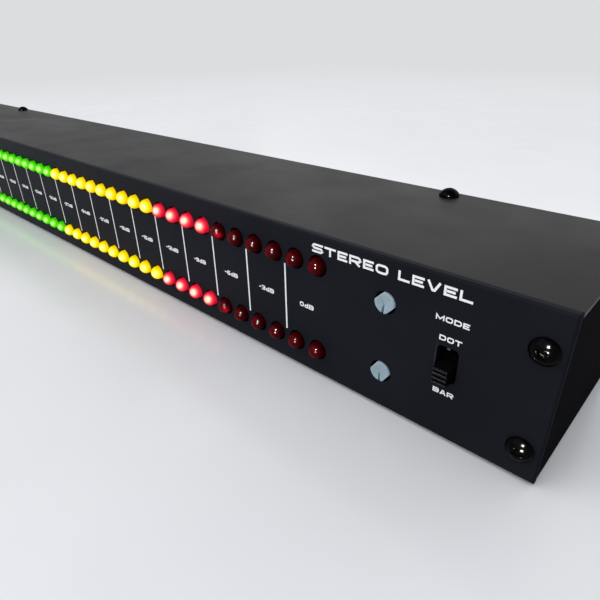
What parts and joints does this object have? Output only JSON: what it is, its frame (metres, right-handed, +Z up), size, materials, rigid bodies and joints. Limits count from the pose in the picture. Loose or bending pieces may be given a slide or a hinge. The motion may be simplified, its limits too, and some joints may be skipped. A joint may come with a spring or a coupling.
{
  "type": "led level meter",
  "caption": "Flat rack-height audio level meter with rows of coloured lamps, a ribbed slide switch and slotted trimmers in a black front panel.",
  "frame": {"origin": "centre of the whole part's bounding box, on the surface that the case stands on", "axes": "+X along the panel to the right as seen from the front, +Y from the panel to the rear, +Z up"},
  "size_m": [0.448, 0.071, 0.0467],
  "materials": {
    "panel_black": "satin black powder coat",
    "case_black": "satin black paint",
    "screw_black": "glossy black",
    "zinc": "zinc plated",
    "board_green": "solder mask",
    "lamp_green": "lit diffused lens",
    "lamp_yellow": "lit diffused lens",
    "lamp_red": "diffused lens",
    "trimmer_black": "moulded",
    "rotor_white": "moulded",
    "slider_black": "moulded",
    "chip_black": "moulded",
    "tin": "tinned",
    "socket_black": "moulded",
    "nickel": "nickel plated",
    "insert_white": "moulded",
    "insert_red": "moulded",
    "capacitor_blue": "shrunk sleeve",
    "ribbon_grey": "flat cable"
  },
  "bodies": {
    "case": {"front_panel": "panel_black", "base_tray": "case_black", "top_cover": "case_black", "panel_screws": "screw_black", "panel_nuts": "zinc", "cover_screws": "screw_black", "cover_nuts": "zinc", "led_board": "board_green", "board_standoffs": "zinc", "board_screws": "zinc", "upper_green_leds": "lamp_green", "upper_yellow_leds": "lamp_yellow", "upper_red_leds": "lamp_red", "lower_green_leds": "lamp_green", "lower_yellow_leds": "lamp_yellow", "lower_red_leds": "lamp_red", "trimmer_bodies": "trimmer_black", "switch_frame": "slider_black", "driver_chips": "chip_black", "chip_legs": "tin", "audio_board": "board_green", "tray_standoffs": "zinc", "audio_screws": "zinc", "phono_housings": "socket_black", "phono_sleeves": "nickel", "white_inserts": "insert_white", "red_inserts": "insert_red", "power_socket": "socket_black", "power_pin": "nickel", "filter_capacitors": "capacitor_blue", "buffer_chip": "chip_black", "ribbon_cable": "ribbon_grey", "cable_headers": "chip_black"},
    "slider": {"mode_slider": "slider_black"},
    "upper_trimmer": {"upper_trimmer_rotor": "rotor_white"},
    "lower_trimmer": {"lower_trimmer_rotor": "rotor_white"}
  },
  "joints": [
    {"name": "mode_slide", "type": "slide", "parent": "case", "child": "slider", "axis": [0, 0, 1], "range_m": [0, 0.0041]},
    {"name": "upper_trim_turn", "type": "hinge", "parent": "case", "child": "upper_trimmer", "pos_m": [0.1821, -0.03255, 0.03275], "axis": [0, 1, 0], "range_deg": [-135, 135]},
    {"name": "lower_trim_turn", "type": "hinge", "parent": "case", "child": "lower_trimmer", "pos_m": [0.1821, -0.03255, 0.01225], "axis": [0, 1, 0], "range_deg": [-135, 135]}
  ]
}
